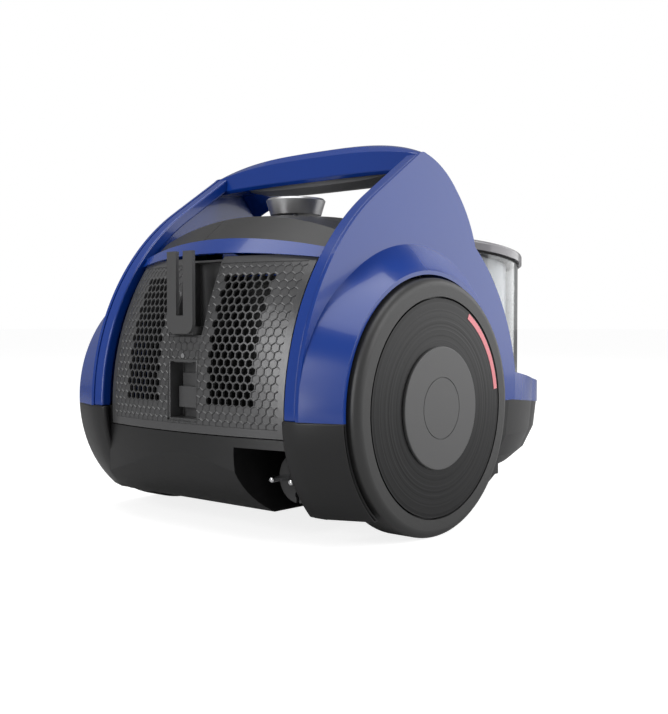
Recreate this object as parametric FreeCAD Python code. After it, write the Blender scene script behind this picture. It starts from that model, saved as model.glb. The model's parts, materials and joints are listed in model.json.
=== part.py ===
import FreeCAD, Part
import math
import os

# Bagless canister vacuum cleaner, built as separate moulded and turned pieces.
# Millimetres, +Z up, -Y is the front (dust cup), +Y the rear (exhaust grille), the right wheel is at -X.
# The pieces are drawn with the rear axle over y = 0, and are moved to the row's origin, the
# middle of the footprint on the floor, when they are saved.

V = FreeCAD.Vector

# ---------------------------------------------------------------- driving dimensions
WHEEL_R = 97.0            # rear wheel radius, so the axle height too
WHEEL_FACE_X = 157.0      # outer face of the tyre
WHEEL_INNER_X = 124.0
DISC_R = 81.5             # brushed disc set in the wheel
HUBCAP_R = 46.0
AXLE_R = 6.0
RUNNING = 0.05            # radial clearance of a running fit
SPLIT = 0.4               # gap between pieces on different bodies

CHEEK_X = 117.5           # outer face of the side walls
WALL = 3.0                # moulded wall thickness
BAND_X = 103.0            # inner edge of the blue band that frames the rear
LIP_X = 149.0             # outer edge of the wheel arch
WELL_R = 99.5             # wheel well
LIP_R = 102.5             # outside of the arch at its lip
CREASE_R = 124.6          # circle where the arch starts on the side wall
CREASE_Y = -21.3
SKIRT_R = 112.8           # round rear edge of the arch below the parting

PARTING_Z = 92.0          # split between the black base and the blue covers
REAR_ARC_R = 200.0        # rear edge of the side walls, from the parting up
REAR_ARC_Y = -87.2
RAKE = math.radians(56)   # from vertical, where the rear edge runs straight to the handle
PEAK_Y, PEAK_Z = -31.5, 295.6
SHOULDER_Y, SHOULDER_Z = -80.0, 270.0
NOTCH_Y, NOTCH_Z = -108.7, 224.5
TOE_Y, TOE_Z = -175.0, 118.0
TOE_SHOULDER_Z, TOE_BROW_Z = 118.0, 186.0   # top of the bulkhead at the side walls, front and rear

HANDLE_Z = 310.5          # crest of the handle
HANDLE_DROP = 13.5        # how far the crest falls at the ends
SILL_Z = 20.4             # underside of the skirts
BELLY_Z = 28.0            # underside under the dust cup
CHIN_START_Y = -171.0
FRONT_Y = -315.0
REAR_Y = 117.4
CHIN_TOP_Z = 117.4
CHIN_SLOPE = 0.141        # fall of the chin's top edge towards the front
PARTING_SLOPE = 0.087     # fall of the parting line under the chin

CUP_R = 75.7
CUP_Y = -229.0
CUP_WALL = 2.5
CUP_FLOOR_Z = 98.0
LID_R = 79.5
LID_SLOPE = 0.14
LID_MID_Z = 224.0         # underside of the lid at the cup's axis
LID_T = 9.2
CYCLONE_R = 64.0
INLET_Z = 165.0           # hose inlet on the cup's front
INLET_BORE_R = 18.0
INLET_OUT_R = 22.0

KNOB_Y = -12.0
KNOB_TOP_R = 25.2
KNOB_FOOT_R = 21.6
PEDAL_SEAM_X = 24.0
PEDAL_FRONT_Y = 22.0
PEDAL_TRAVEL = 4.0

MOTOR_X, MOTOR_Z = 30.0, 110.0
FAN_R, MOTOR_R = 57.0, 44.0
REEL_Y, REEL_Z = -14.0, 122.0
REEL_FLANGE_R = 70.0
REEL_HUB_R = 30.0
CORD_D = 6.5
CORD_LENGTH = 5000.0

PLUG_X, PLUG_Z = -85.0, 46.5
PLUG_FACE_Y = 78.0
PLUG_R = 18.5
PIN_SPACING = 19.0
PIN_R = 2.4

CASTER_Y = -205.0
CASTER_TRAIL = 11.0
CASTER_R = 18.0
POCKET_R = 31.0

ROW_SHIFT = V(0, -(REAR_Y + FRONT_Y) / 2.0, 0)
parts = {}


# ---------------------------------------------------------------- small helpers
def box(x0, x1, y0, y1, z0, z1):
    return Part.makeBox(x1 - x0, y1 - y0, z1 - z0, V(x0, y0, z0))


def rod_x(r, x0, x1, y, z):
    return Part.makeCylinder(r, abs(x1 - x0), V(min(x0, x1), y, z), V(1, 0, 0))


def rod_y(r, y0, y1, x, z):
    return Part.makeCylinder(r, y1 - y0, V(x, y0, z), V(0, 1, 0))


def rod_z(r, z0, z1, x, y):
    return Part.makeCylinder(r, z1 - z0, V(x, y, z0), V(0, 0, 1))


def ring_x(r0, r1, x0, x1, y, z):
    return rod_x(r1, x0, x1, y, z).cut(rod_x(r0, x0, x1, y, z))


def ring_y(r0, r1, y0, y1, x, z):
    return rod_y(r1, y0, y1, x, z).cut(rod_y(r0, y0, y1, x, z))


def ring_z(r0, r1, z0, z1, x, y):
    return rod_z(r1, z0, z1, x, y).cut(rod_z(r0, z0, z1, x, y))


def mirrored(shape):
    return shape.mirror(V(0, 0, 0), V(1, 0, 0))


def union(shapes):
    return shapes[0].multiFuse(shapes[1:]).removeSplitter()


def outline(place, start, steps):
    """A closed face from a start point; a step is an end point, or a middle and an end of an arc."""
    edges = []
    here = start
    for step in steps:
        if len(step) == 4:
            mid, end = step[:2], step[2:]
            edges.append(Part.Arc(place(*here), place(*mid), place(*end)).toShape())
        else:
            end = step
            edges.append(Part.LineSegment(place(*here), place(*end)).toShape())
        here = end
    if math.dist(here, start) > 1e-6:
        edges.append(Part.LineSegment(place(*here), place(*start)).toShape())
    return Part.Face(Part.Wire(edges))


def side_slab(start, steps, x0, x1):
    face = outline(lambda y, z: V(x0, y, z), start, steps)
    return face.extrude(V(x1 - x0, 0, 0))


def plan_slab(start, steps, z0, z1):
    face = outline(lambda x, y: V(x, y, z0), start, steps)
    return face.extrude(V(0, 0, z1 - z0))


def loft_over_x(section, stations):
    wires = []
    for x in stations:
        points = [V(x, y, z) for y, z in section(x)]
        wires.append(Part.makePolygon(points + points[:1]))
    return Part.makeLoft(wires, True, False)


def inset(points, depth):
    """The open line of points moved inwards by a wall's depth, in reverse order, to close a band."""
    moved = []
    for i, (y, z) in enumerate(points):
        before = points[max(i - 1, 0)]
        after = points[min(i + 1, len(points) - 1)]
        run_y, run_z = after[0] - before[0], after[1] - before[1]
        length = math.hypot(run_y, run_z)
        moved.append((y + run_z / length * depth, z - run_y / length * depth))
    return moved[::-1]


def revolve_z(profile, x, y):
    """A closed profile of (radius, z) points turned about an axis along Z."""
    points = [V(x + r, y, z) for r, z in profile]
    face = Part.Face(Part.makePolygon(points + points[:1]))
    return face.revolve(V(x, y, 0), V(0, 0, 1), 360)


# ---------------------------------------------------------------- shared outlines
def rear_edge_y(z, depth=0.0):
    """Where the side walls' rear edge stands at a height, moved in by a depth."""
    knee_z = PARTING_Z + REAR_ARC_R * math.sin(RAKE)
    if z <= knee_z:
        return REAR_ARC_Y + math.sqrt((REAR_ARC_R - depth) ** 2 - (z - PARTING_Z) ** 2)
    knee_y = REAR_ARC_Y + REAR_ARC_R * math.cos(RAKE)
    return knee_y - (z - knee_z) * math.tan(RAKE) - depth / math.cos(RAKE)


def cheek_outline():
    """The side wall seen from the side, above the parting."""
    knee = (REAR_ARC_Y + REAR_ARC_R * math.cos(RAKE), PARTING_Z + REAR_ARC_R * math.sin(RAKE))
    half = (REAR_ARC_Y + REAR_ARC_R * math.cos(RAKE / 2), PARTING_Z + REAR_ARC_R * math.sin(RAKE / 2))
    steps = [
        half + knee,
        (PEAK_Y, PEAK_Z),
        (-59.0, 286.0, SHOULDER_Y, SHOULDER_Z),
        (-97.0, 249.0, NOTCH_Y, NOTCH_Z),
        (-149.0, 182.0, TOE_Y, TOE_Z),
        (TOE_Y, PARTING_Z),
    ]
    return (REAR_ARC_Y + REAR_ARC_R, PARTING_Z), steps


def footprint(grow, z0, z1):
    """The plan of the base and the chin, tapering to a round front."""
    side = CHEEK_X + grow
    rear = rear_edge_y(PARTING_Z) + grow
    toe = (98.0 + grow, -240.0)
    swell = 110.5 + grow
    bend = (71.0 + 0.75 * grow, -289.0 - 0.7 * grow)
    tip = (0.0, FRONT_Y - grow)
    steps = [
        (side, -165.0), (swell, -205.0) + toe, bend + tip,
        (-bend[0], bend[1], -toe[0], toe[1]),
        (-swell, -205.0, -side, -165.0), (-side, rear),
    ]
    return plan_slab((side, rear), steps, z0, z1)


def arch_base_radius(angle):
    """How far from the axle the arch starts on the side wall: a crease circle above, a round skirt behind."""
    toward = CREASE_Y * math.cos(angle)
    crease = toward + math.sqrt(CREASE_R ** 2 - CREASE_Y ** 2 + toward ** 2)
    gap = crease - SKIRT_R
    return 0.5 * (crease + SKIRT_R + math.sqrt(gap ** 2 + 4.0))


def arch_solid(shrink=0.0):
    """The flared wheel arch, one ruled skin from the side wall to the round lip, closed as a solid."""
    turns = [math.tau * i / 48 for i in range(48)]

    def closed_curve(x, radius):
        points = [V(x, radius(a) * math.cos(a), WHEEL_R + radius(a) * math.sin(a)) for a in turns]
        curve = Part.BSplineCurve()
        curve.interpolate(Points=points, PeriodicFlag=True)
        return Part.Wire(curve.toShape())

    base = closed_curve(CHEEK_X - WALL, lambda a: arch_base_radius(a) - shrink)
    lip = closed_curve(LIP_X, lambda a: LIP_R - 1.5 * shrink)
    return Part.makeLoft([base, lip], True, True)


def arch_shell():
    """The arch as a 3 mm skin with its round well, on the +X side, all round the wheel."""
    solid = arch_solid().cut(box(0, CHEEK_X - 0.01, -400, 400, -100, 400))
    hollow = arch_solid(WALL).cut(rod_x(LIP_R - 0.5, 0, 200, 0, WHEEL_R))
    open_well = rod_x(WELL_R, CHEEK_X - 20, LIP_X + 20, 0, WHEEL_R)
    return solid.cut(hollow).cut(open_well)


CAP_MIDDLE = [(82, 219), (48.5, 245.4), (22, 248.3), (-14, 250.5), (-42, 244.5), (-75, 240), (-110, 238), (-146, 241)]
CAP_SIDE = [(66, 211), (46, 229), (22, 232.5), (-14, 234.5), (-42, 228), (-75, 221), (-110, 208), (-146, 188)]


def cap_line(x):
    share = (x / 98.0) ** 2
    return [(a + (c - a) * share, b + (d - b) * share) for (a, b), (c, d) in zip(CAP_MIDDLE, CAP_SIDE)]


def cap_band(x):
    line = cap_line(x)
    return line + inset(line, -WALL)


def above_cap(x):
    line = inset(cap_line(x), -(WALL + 0.3))[::-1]
    return line + [(line[-1][0] - 60, line[-1][1]), (line[-1][0] - 60, 330), (line[0][0] + 60, 330),
                   (line[0][0] + 60, line[0][1])]


GRILLE_ROWS = [(78, 116.4), (100, 116.2), (125, 115.3), (150, 112.6), (172, 106.6), (192, 98.8), (211, 90.0)]


def grille_line(x, depth=0.0):
    """The bulged rear face: its middle stands proud, its sides follow the side walls' rear edge."""
    share = (x / 98.0) ** 2
    line = []
    for z, middle_y in GRILLE_ROWS:
        side_y = rear_edge_y(z) - 6.5
        line.append((middle_y + (side_y - middle_y) * share - depth, z - 4.0 * share * (z > 205)))
    return line


STATIONS = [-101.5, -80, -50, -20, 0, 20, 50, 80, 101.5]


# ---------------------------------------------------------------- base
def parting_top():
    """Everything under the parting line, level at the rear and falling under the chin."""
    drop = (CHIN_START_Y - FRONT_Y + 20) * PARTING_SLOPE
    start = (140, PARTING_Z)
    steps = [(CHIN_START_Y, PARTING_Z), (FRONT_Y - 20, PARTING_Z - drop),
             (FRONT_Y - 20, -10), (140, -10)]
    return side_slab(start, steps, -200, 200)


def keel(grow, rear_y, round_z, mid_y, under_y):
    """The base seen from the side: round rear, flat sill, raised belly and a round front."""
    floor_z = SILL_Z - grow
    belly = BELLY_Z - grow
    start = (rear_y + grow, PARTING_Z + 20)
    steps = [
        (rear_y + grow, round_z),
        (mid_y + 0.8 * grow, 45.0 - 0.4 * grow, under_y, floor_z),
        (-128.0, floor_z),
        (-142.0, belly),
        (-228.0, belly),
        (-283.0 - 0.7 * grow, 44.0 - 0.7 * grow, FRONT_Y - grow, 80.0),
        (FRONT_Y - grow, PARTING_Z + 20),
    ]
    return side_slab(start, steps, -200, 200)


BOWL = [(140.0, 0.0), (92.0, 0.0), (60.0, -3.5), (40.0, -13.0), (30.5, -24.0), (18.0, -40.0)]
BOWL_START_Y = -147.0        # in front of the skirts


def front_bowl(grow):
    wires = []
    for z, inward in BOWL:
        slab = footprint(grow + inward, z, z + 1)
        low = min(slab.Faces, key=lambda face: face.CenterOfMass.z)
        wires.append(low.OuterWire)
    return Part.makeLoft(wires, True, True)


def base_hull(grow):
    """The base's outer shape: its rear bulges between the two corners that carry the skirts."""
    plan = footprint(grow, 0, 140)
    edge_y = 105.0 + grow
    bulge = plan_slab((140, edge_y), [(BAND_X, edge_y), (0, 116.4 + grow, -BAND_X, edge_y), (-140, edge_y),
                                      (-140, -400), (140, -400)], 0, 140)
    middle = plan.fuse(box(-90, 90, 100, 125, 0, 140)).common(keel(grow, 117.5, 78.0, 110.0, 84.0)).common(bulge)
    middle = middle.common(box(-BAND_X - 0.5, BAND_X + 0.5, -400, 130, 0, 140))
    skirt_mid_y = math.sqrt(SKIRT_R ** 2 - (WHEEL_R - 45.0) ** 2)
    skirt_low_y = math.sqrt(SKIRT_R ** 2 - (WHEEL_R - SILL_Z) ** 2)
    corners = plan.common(keel(grow, SKIRT_R, PARTING_Z, skirt_mid_y, skirt_low_y))
    corners = corners.cut(box(grow - BAND_X, BAND_X - grow, -150, 130, 0, 140))
    whole = middle.fuse(corners)
    before = box(-200, 200, -400, BOWL_START_Y, -10, 150)
    return whole.cut(before).fuse(whole.common(before).common(front_bowl(grow)))


def alcove(grow):
    """The plug's parking place, open to the rear and below, with a slanted inner wall."""
    face = outline(
        lambda x, z: V(x, 44.0 - grow, z),
        (-54.0 + grow, 70.0 + grow),
        [(-106.0, 70.0 + grow), (-106.0, 8.0), (-69.0 + grow, 8.0), (-67.0 + grow, 22.0),
         (-57.0 + grow, 44.0, -54.0 + grow, 70.0 + grow)],
    )
    return face.extrude(V(0, 90.0, 0))


def base_tub():
    outer = base_hull(0).common(parting_top())
    tub = outer.cut(base_hull(-WALL))
    skirt = arch_shell().common(box(CHEEK_X, LIP_X + 1, -160, 130, SILL_Z, PARTING_Z))
    tub = union([tub, skirt, mirrored(skirt)])
    niche = alcove(WALL).common(outer).cut(alcove(0))
    tub = tub.cut(alcove(0).common(box(-120, 0, 40, 160, 0, 100))).fuse(niche)
    tub = tub.cut(box(-98.2, 98.2, 88.0, 130.0, 77.2, 120.0))
    tub = tub.fuse(outer.common(box(-98.2, 98.2, 90.0, 130.0, 74.2, 77.2)))
    # outlet bush hole and caster pocket
    tub = tub.cut(rod_y(6.5, 38, 46, PLUG_X, PLUG_Z))
    pocket = ring_z(POCKET_R, POCKET_R + 2.5, BELLY_Z, 57.5, 0, CASTER_Y)
    roof = rod_z(POCKET_R + 2.5, 55.0, 57.5, 0, CASTER_Y)
    boss = rod_z(11.0, 57.5, 74.0, 0, CASTER_Y)
    tub = tub.cut(rod_z(POCKET_R, 0, 55.0, 0, CASTER_Y))
    tub = tub.fuse(pocket).fuse(roof).fuse(boss)
    tub = tub.cut(rod_z(AXLE_R + RUNNING, 50, 72.0, 0, CASTER_Y))
    # motor cradle, reel stand, pylons for the axles
    for y0, y1, hole in ((-98.0, -90.0, FAN_R + 6.0), (14.0, 22.0, MOTOR_R + 6.0)):
        rib = box(MOTOR_X - 60, MOTOR_X + 60, y0, y1, SILL_Z + 1, MOTOR_Z - 15)
        tub = tub.fuse(rib.cut(rod_y(hole, y0 - 1, y1 + 1, MOTOR_X, MOTOR_Z)))
    for side in (1, -1):
        pylon = box(104.0, 113.5, -15, 15, SILL_Z + 1, WHEEL_R + 13)
        hole = rod_x(AXLE_R, 90, 130, 0, WHEEL_R)
        hub_room = rod_x(16.0, 113.5, 125, 0, WHEEL_R)
        if side < 0:
            pylon, hole, hub_room = mirrored(pylon), mirrored(hole), mirrored(hub_room)
        tub = tub.cut(hub_room).fuse(pylon).cut(hole)
    return tub.removeSplitter()


# ---------------------------------------------------------------- covers
def side_cover():
    """The +X side: a plate with the wheel arch on it, above the parting."""
    start, steps = cheek_outline()
    plate = side_slab(start, steps, CHEEK_X - WALL, CHEEK_X)
    arch = arch_shell().common(box(CHEEK_X - 0.01, LIP_X + 1, -160, 130, PARTING_Z, 300))
    arch = arch.common(side_slab(start, steps, CHEEK_X - 1, LIP_X + 1).fuse(
        box(CHEEK_X - 1, LIP_X + 1, -160, 130, PARTING_Z, 220)))
    cover = plate.fuse(arch)
    return cover.cut(rod_x(16.0, 90, 130, 0, WHEEL_R)).removeSplitter()


def handle_crest(x):
    return HANDLE_Z - HANDLE_DROP * (abs(x) / 111.0) ** 3


def handle_section(x):
    """The handle's blue skin: rear face, crest, falling top and front edge, open below."""
    end = min(abs(x) / (CHEEK_X - WALL), 1.0) ** 3
    crest = handle_crest(x)
    line = [
        (-29.0, 288.0 - 6.0 * end),
        (-33.0 + 3.2 * end, crest - 7.0 + 5.0 * end),
        (-46.0 + 13.5 * end, crest),
        (-68.0 + 6.0 * end, crest - 5.0 - 6.0 * end),
        (-86.0 + 6.0 * end, crest - 15.0 - 12.0 * end),
        (-91.0 + 9.0 * end, 290.0 - 26.0 * end),
    ]
    return line


def handle_shell():
    def skin(x):
        line = handle_section(x)
        return line + inset(line, -WALL)

    limit = CHEEK_X - WALL
    bar = loft_over_x(skin, [-limit, -95, -75, -45, 0, 45, 75, 95, limit])
    start, steps = cheek_outline()
    whole = side_slab(start, steps, BAND_X, limit)
    hollow = side_slab(
        (REAR_ARC_Y + REAR_ARC_R - WALL, PARTING_Z - 1),
        [(rear_edge_y(170, WALL), 170.0, rear_edge_y(PARTING_Z + 150, WALL), PARTING_Z + 150),
         (PEAK_Y + 6, PEAK_Z - 12), (-78, 268), (-95, 246), (NOTCH_Y + 4, NOTCH_Z - 1),
         (-146, 180), (TOE_Y + WALL, TOE_Z), (TOE_Y + WALL, PARTING_Z - 1)],
        BAND_X - 1, limit + 1)
    rim = whole.cut(hollow)
    rim = rim.cut(box(0, 200, -400, NOTCH_Y + 30, 0, 400))
    return union([bar, rim, mirrored(rim)])


def handle_grip():
    """The soft underside of the handle, tucked between the blue skin's two edges."""
    def section(x):
        taper = (x / 92.0) ** 4
        top = 288.0 - 3.0 * min(abs(x) / 114.5, 1.0) ** 3
        return [(-33.0, top), (-37.0, 279.0 + 5.0 * taper), (-55.0, 276.0 + 6.0 * taper),
                (-76.0, 278.5 + 4.0 * taper), (-86.5, top - 2.0)]

    return loft_over_x(section, [-92, -60, 0, 60, 92]).cut(
        loft_over_x(lambda x: [(-38, 290.5), (-40, 282), (-55, 279.5), (-74, 281.5), (-82, 290.5)],
                    [-88, -60, 0, 60, 88]))


def rear_strip():
    """The blue bead over the grille. It stands proud, and the pedals pass behind it."""
    def section(x):
        share = (x / 98.0) ** 2
        low_y, low_z = 90.5 + (72.0 - 90.5) * share, 214.0 + (208.5 - 214.0) * share
        top_y, top_z = 79.0 + (66.0 - 79.0) * share, 226.0 + (216.5 - 226.0) * share
        return [(low_y, low_z), (top_y, top_z), (top_y - 1.6, top_z - 1.4), (low_y - 3.2, low_z - 0.6)]

    return loft_over_x(section, STATIONS)


def cap_pieces():
    """The dark top: a fixed deck, and two foot pedals split off its rear."""
    whole = loft_over_x(cap_band, STATIONS)
    edge = 0.5 * SPLIT
    deck = whole.common(box(-150, 150, -200, PEDAL_FRONT_Y - edge, 150, 300))
    deck = deck.cut(rod_z(7.0, 200, 300, 0, KNOB_Y))
    deck = deck.cut(box(-16.4, 16.4, -138.4, -119.6, 200, 300))
    rear = whole.common(box(-150, 150, PEDAL_FRONT_Y + edge, 200, 150, 300))
    power = rear.common(box(PEDAL_SEAM_X + edge, 99.5, -50, 200, 150, 300))
    rewind = rear.common(box(-99.5, PEDAL_SEAM_X - edge, -50, 200, 150, 300))
    return {"top_cover": deck, "power_pedal": power, "rewind_pedal": rewind}


def bulkhead():
    """The housing's front wall, hollowed round the dust cup, with the suction port and a closed roof."""
    limit = CHEEK_X - WALL - 0.2

    def hull(depth):
        def section(x):
            rise = 1.0 - min(abs(x) / limit, 1.0) ** 2
            front = CHIN_START_Y - 1 + depth
            return [(-146.0, PARTING_Z - 3 * depth), (front, PARTING_Z - 3 * depth),
                    (front, TOE_SHOULDER_Z + 110.0 * rise - depth), (-146.0, TOE_BROW_Z + 53.0 * rise - depth)]
        return loft_over_x(section, [-limit, -90, -60, -30, 0, 30, 60, 90, limit])

    roof = loft_over_x(above_cap, [-120, -60, 0, 60, 120])
    wall = hull(0).cut(roof).cut(rod_z(CUP_R + 3.3, 0, 300, 0, CUP_Y))
    inner = hull(WALL).cut(roof.translated(V(0, 0, -WALL)))
    inner = inner.cut(rod_z(CUP_R + 6.3, 0, 300, 0, CUP_Y)).common(box(-111, 111, -200, -100, 0, 300))
    wall = wall.cut(inner).cut(rod_z(LID_R + 0.8, 226.0, 300, 0, CUP_Y))
    return wall.cut(rod_y(16.0, -160, -130, 0, 190.0))


def chin_pieces():
    """The blue bumper round the foot of the dust cup, and the seat that the cup stands on."""
    y0 = TOE_Y - 0.2
    far = FRONT_Y - 20

    def wedge(top, bottom):
        def top_at(y):
            return CHIN_TOP_Z - top + CHIN_SLOPE * (y - CHIN_START_Y)

        def low_at(y):
            return PARTING_Z - bottom + PARTING_SLOPE * (y - CHIN_START_Y)

        return side_slab((y0, top_at(y0)), [(far, top_at(far)), (far, low_at(far)), (y0, low_at(y0))], -200, 200)

    shell = footprint(0, 0, 140).common(wedge(0, 0))
    shell = shell.cut(footprint(-WALL, 0, 140).common(wedge(WALL, 5).fuse(wedge(WALL, 20))))
    shell = shell.cut(rod_z(CUP_R + 2.3, 60, 140, 0, CUP_Y))
    seat = rod_z(CUP_R + 1.8, CUP_FLOOR_Z - 3.8, CUP_FLOOR_Z - 0.3, 0, CUP_Y)
    seat = seat.fuse(ring_z(CUP_R - 1.5, CUP_R + 1.8, 82.0, CUP_FLOOR_Z - 3.8, 0, CUP_Y))
    return {"chin_cover": shell, "cup_seat": seat.removeSplitter()}


# ---------------------------------------------------------------- controls
def controls():
    knob = revolve_z([(0, 251.6), (KNOB_FOOT_R, 251.6), (KNOB_TOP_R, 263.5), (KNOB_TOP_R - 1.5, 265.2), (0, 266.0)],
                     0, KNOB_Y)
    knob = knob.fuse(rod_z(3.0, 231.0, 251.6, 0, KNOB_Y))
    board = box(-34, 34, -38, 18, 222.0, 223.6)
    regulator = rod_z(11.0, 223.6, 238.0, 0, KNOB_Y).cut(rod_z(3.0 + RUNNING, 230.0, 240.0, 0, KNOB_Y))
    switch = box(50, 70, 26, 44, 200.0, 222.0).fuse(rod_z(3.0, 222.0, 231.0, 60, 34))
    button = box(-16, 16, -138, -120, 226.0, 242.5)
    button = button.makeFillet(2.0, [e for e in button.Edges if e.BoundBox.ZMin > 242.4])
    return {
        "suction_knob": knob.removeSplitter(),
        "control_board": Part.makeCompound([board.fuse(regulator), switch]),
        "cup_release_button": button,
    }


# ---------------------------------------------------------------- exhaust door
def grille_pieces():
    def band(x):
        outer = grille_line(x)
        return outer + grille_line(x, WALL)[::-1]

    panel = loft_over_x(band, [-97.5, -80, -55, -28, 0, 28, 55, 80, 97.5])
    for side in (1, -1):
        x0, x1 = sorted((side * 27.0, side * 72.0))
        panel = panel.cut(box(x0, x1, 60, 140, 97.0, 198.0))
    trough = box(-19.5, 19.5, 78.0, 116, 149.0, 212.5).cut(box(-17, 17, 80.5, 130, 151.5, 230))
    trough = trough.common(loft_over_x(lambda x: grille_line(x, 0.2) + [(70, 225), (70, 70)], [-30, 0, 30]))
    panel = panel.cut(box(-17, 17, 60, 140, 151.5, 230)).fuse(trough)
    tray = box(-16.6, 16.6, 98.0, 113.2, 86.0, 133.0)
    panel = panel.fuse(tray).cut(box(-14.1, 14.1, 100.5, 140, 88.5, 130.5))
    panel = panel.cut(rod_y(1.8, 108, 118, 0, 135.5))
    plate = box(-14.5, 14.5, 114.4, REAR_Y, 152.3, 214.5)
    corners = [e for e in plate.Edges if e.BoundBox.ZMax < 152.4 and e.BoundBox.YLength > 2]
    plate = plate.makeFillet(7.5, corners)
    plate = plate.cut(box(-3.9, 3.9, 100, 130, 166.0, 230))
    foot = box(-12, 12, 80.5, 114.4, 151.6, 157.6)
    bracket = plate.fuse(foot).removeSplitter()
    latch = box(-11, 11, 101.0, 108.5, 96.0, 112.0).fuse(box(-11, 11, 101.0, 104.5, 112.0, 122.0))
    return {
        "exhaust_grille": panel.removeSplitter(),
        "parking_bracket": bracket,
        "bracket_screw": rod_y(1.8, 110.0, 114.6, 0, 135.5),
        "grille_latch": latch.removeSplitter(),
    }


def filters():
    frame = box(-90, 90, 58, 76, 84, 196).cut(box(-84, 84, 50, 80, 90, 190))
    media = box(-84, 84, 60, 74, 90, 190)
    foam = box(-42, 42, -145.8, -128.0, 150, 212)
    foam = foam.cut(rod_y(15, -150, -138, 0, 190))
    return {"filter_frame": frame, "exhaust_filter": media, "premotor_filter": foam}


# ---------------------------------------------------------------- motor
def motor_pieces():
    x, z = MOTOR_X, MOTOR_Z
    housing = ring_y(FAN_R - 3, FAN_R, -100, -50, x, z)
    housing = union([housing, ring_y(18, FAN_R - 2, -100, -97, x, z), ring_y(11, FAN_R - 2, -53, -50, x, z)])
    shell = ring_y(MOTOR_R - 3, MOTOR_R, -50, 26, x, z).fuse(ring_y(11, MOTOR_R - 2, 23, 26, x, z))
    bearings = [ring_y(4 + RUNNING, 11, -53, -46, x, z), ring_y(4 + RUNNING, 11, 19, 26, x, z)]
    shaft = rod_y(4, -93, 31, x, z)
    rotor = union([shaft, rod_y(26, -36, 8, x, z), rod_y(12, 8, 17, x, z)])
    wheel = [ring_y(4, 50, -90, -88.5, x, z), ring_y(4, 50, -68, -66.5, x, z), ring_y(4, 11, -88.5, -68, x, z)]
    for i in range(9):
        blade = box(x + 10, x + 49, -88.6, -67.9, z - 1, z + 1)
        wheel.append(blade.rotate(V(x, 0, z), V(0, 1, 0), 40 * i))
    mounts = [ring_y(FAN_R, FAN_R + 6, -98, -90, x, z), ring_y(MOTOR_R, MOTOR_R + 6, 14, 22, x, z)]
    start, end = V(6, -134, 166), V(x, -96, z)
    run = end.sub(start)
    duct = Part.makeCylinder(20.0, run.Length, start, run).cut(Part.makeCylinder(17.5, run.Length, start, run))
    duct = duct.common(box(-100, 150, -127.8, -100.2, 0, 300))
    return {
        "fan_housing": housing,
        "motor_shell": shell.removeSplitter(),
        "motor_stator": ring_y(28, MOTOR_R - 3, -34, 6, x, z),
        "motor_bearings": Part.makeCompound(bearings),
        "motor_rotor": rotor,
        "fan_impeller": union(wheel),
        "motor_mounts": Part.makeCompound(mounts),
        "intake_duct": duct,
    }


# ---------------------------------------------------------------- cord reel and plug
def reel_pieces():
    y, z = REEL_Y, REEL_Z
    x0, x1 = -100.0, -68.0
    drum = union([
        ring_x(REEL_HUB_R - 3, REEL_HUB_R, x0 + 2, x1 - 2, y, z),
        ring_x(5 + RUNNING, REEL_HUB_R - 2, -86, -82, y, z),
        ring_x(5 + RUNNING, 9, x0 + 1, x1 - 1, y, z),
        ring_x(REEL_HUB_R - 3, REEL_FLANGE_R, x0, x0 + 2, y, z),
        ring_x(REEL_HUB_R - 3, REEL_FLANGE_R, x1 - 2, x1, y, z),
    ])
    width = x1 - x0 - 4
    packed = CORD_LENGTH * math.pi / 4 * CORD_D ** 2 / 0.75
    winding_r = math.sqrt(packed / (math.pi * width) + REEL_HUB_R ** 2)
    winding = ring_x(REEL_HUB_R, winding_r, x0 + 2, x1 - 2, y, z)
    axle = rod_x(5, -103, -59, y, z)
    cassette = ring_x(5, 24, -67.7, -62.0, y, z)
    stand = box(-62, -59, y - 18, y + 24, SILL_Z + WALL, 220)
    stand = stand.cut(rod_x(5, -70, -50, y, z))
    pin_y, pin_z = 4.0, 214.0
    stand = stand.fuse(rod_x(2.5, -92, -60, pin_y, pin_z))
    lever = union([
        rod_x(5.5, -90, -66, pin_y, pin_z),
        box(-88, -80, pin_y, 44, 211, 216),
        box(-88, -80, 36, 44, 212, 228.3),
        box(-73, -66, -18, pin_y, 209.5, 214.5),
        box(-73, -66, -18, -10, z + REEL_FLANGE_R + 0.6, 212),
    ]).cut(rod_x(2.5 + RUNNING, -95, -60, pin_y, pin_z))
    return {
        "reel_drum": drum,
        "cord_winding": winding,
        "reel_axle": axle,
        "reel_spring": cassette,
        "reel_stand": stand.removeSplitter(),
        "brake_lever": lever,
    }


def plug_pieces():
    x, z = PLUG_X, PLUG_Z
    bush = rod_y(6.5, 38, 44, x, z).fuse(rod_y(9, 44, 46, x, z)).cut(rod_y(3.3, 30, 50, x, z))
    body = rod_y(PLUG_R, 65, PLUG_FACE_Y, x, z)
    neck = Part.makeCone(6.5, PLUG_R, 8, V(x, 57, z), V(0, 1, 0))
    relief = Part.makeCone(4.6, 6.5, 11, V(x, 46, z), V(0, 1, 0))
    body = union([body, neck, relief])
    for side in (1, -1):
        mid = z + side * 12.5
        low, high = sorted((mid, z + side * 20))
        body = body.cut(rod_y(2.6, 68, 80, x, mid)).cut(box(x - 1.5, x + 1.5, 68, 80, low, high))
    pins = []
    for side in (1, -1):
        pin_x = x + side * PIN_SPACING / 2
        body = body.cut(rod_y(PIN_R, 66, 80, pin_x, z))
        pin = rod_y(PIN_R, 66, PLUG_FACE_Y + 19, pin_x, z)
        pins.append(pin.makeFillet(1.6, [e for e in pin.Edges if e.BoundBox.YMin > PLUG_FACE_Y + 18]))
    return {"cord_outlet": bush, "plug_body": body, "plug_pins": Part.makeCompound(pins)}


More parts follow.
